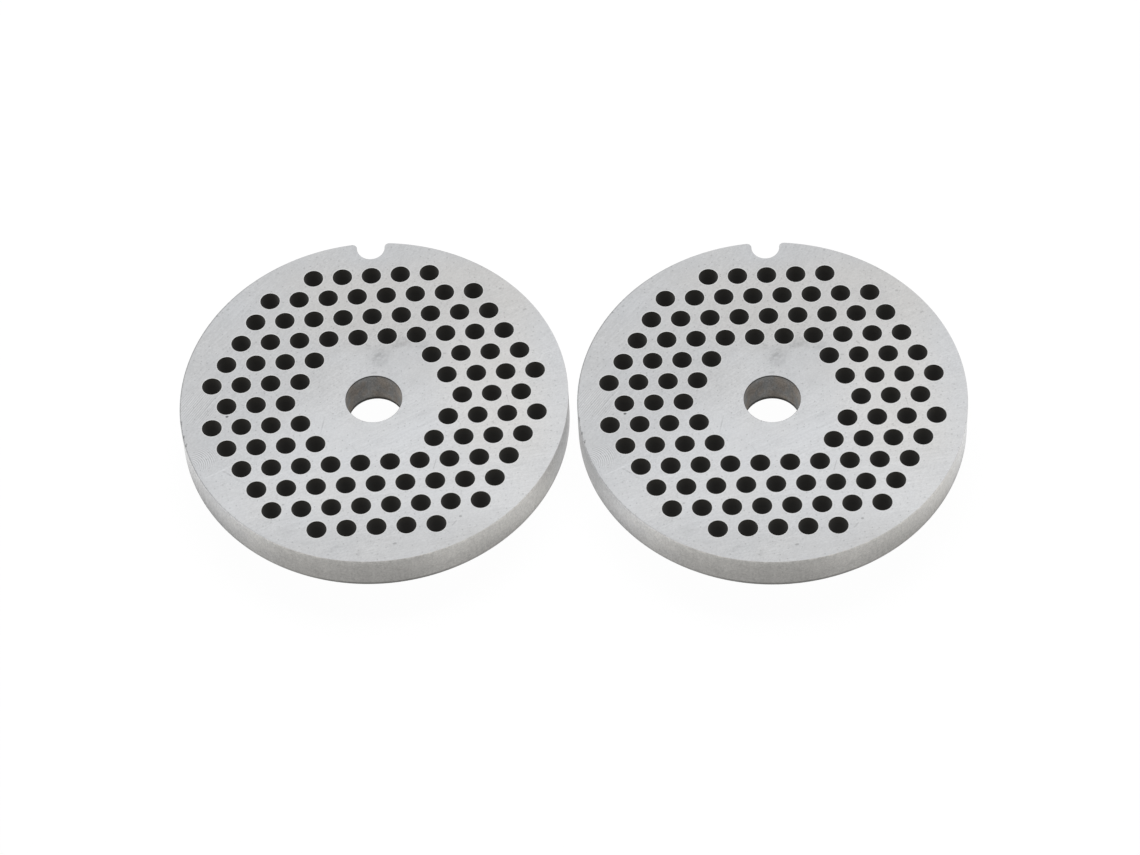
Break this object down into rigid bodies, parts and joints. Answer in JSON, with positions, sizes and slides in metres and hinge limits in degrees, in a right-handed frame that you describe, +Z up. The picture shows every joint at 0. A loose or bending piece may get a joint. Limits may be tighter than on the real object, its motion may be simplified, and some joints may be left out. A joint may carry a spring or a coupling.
{
  "type": "pair of mincer plates",
  "caption": "Loose perforated steel discs for a meat mincer, laid side by side, each with a grid of round holes, a centre bore and a key notch in its rim.",
  "frame": {"origin": "midway between the two plates, on the surface that they rest on", "axes": "+X from the left plate to the right plate, +Y towards the key notches, +Z up"},
  "size_m": [0.1254, 0.062, 0.0064],
  "materials": {
    "ground_steel": "ground, satin"
  },
  "bodies": {
    "left_plate": {"left_plate": "ground_steel"},
    "right_plate": {"right_plate": "ground_steel"}
  },
  "joints": [
    {"name": "right_plate_lift", "type": "slide", "parent": "left_plate", "child": "right_plate", "axis": [0, 0, 1], "range_m": [0, 0.05]}
  ]
}
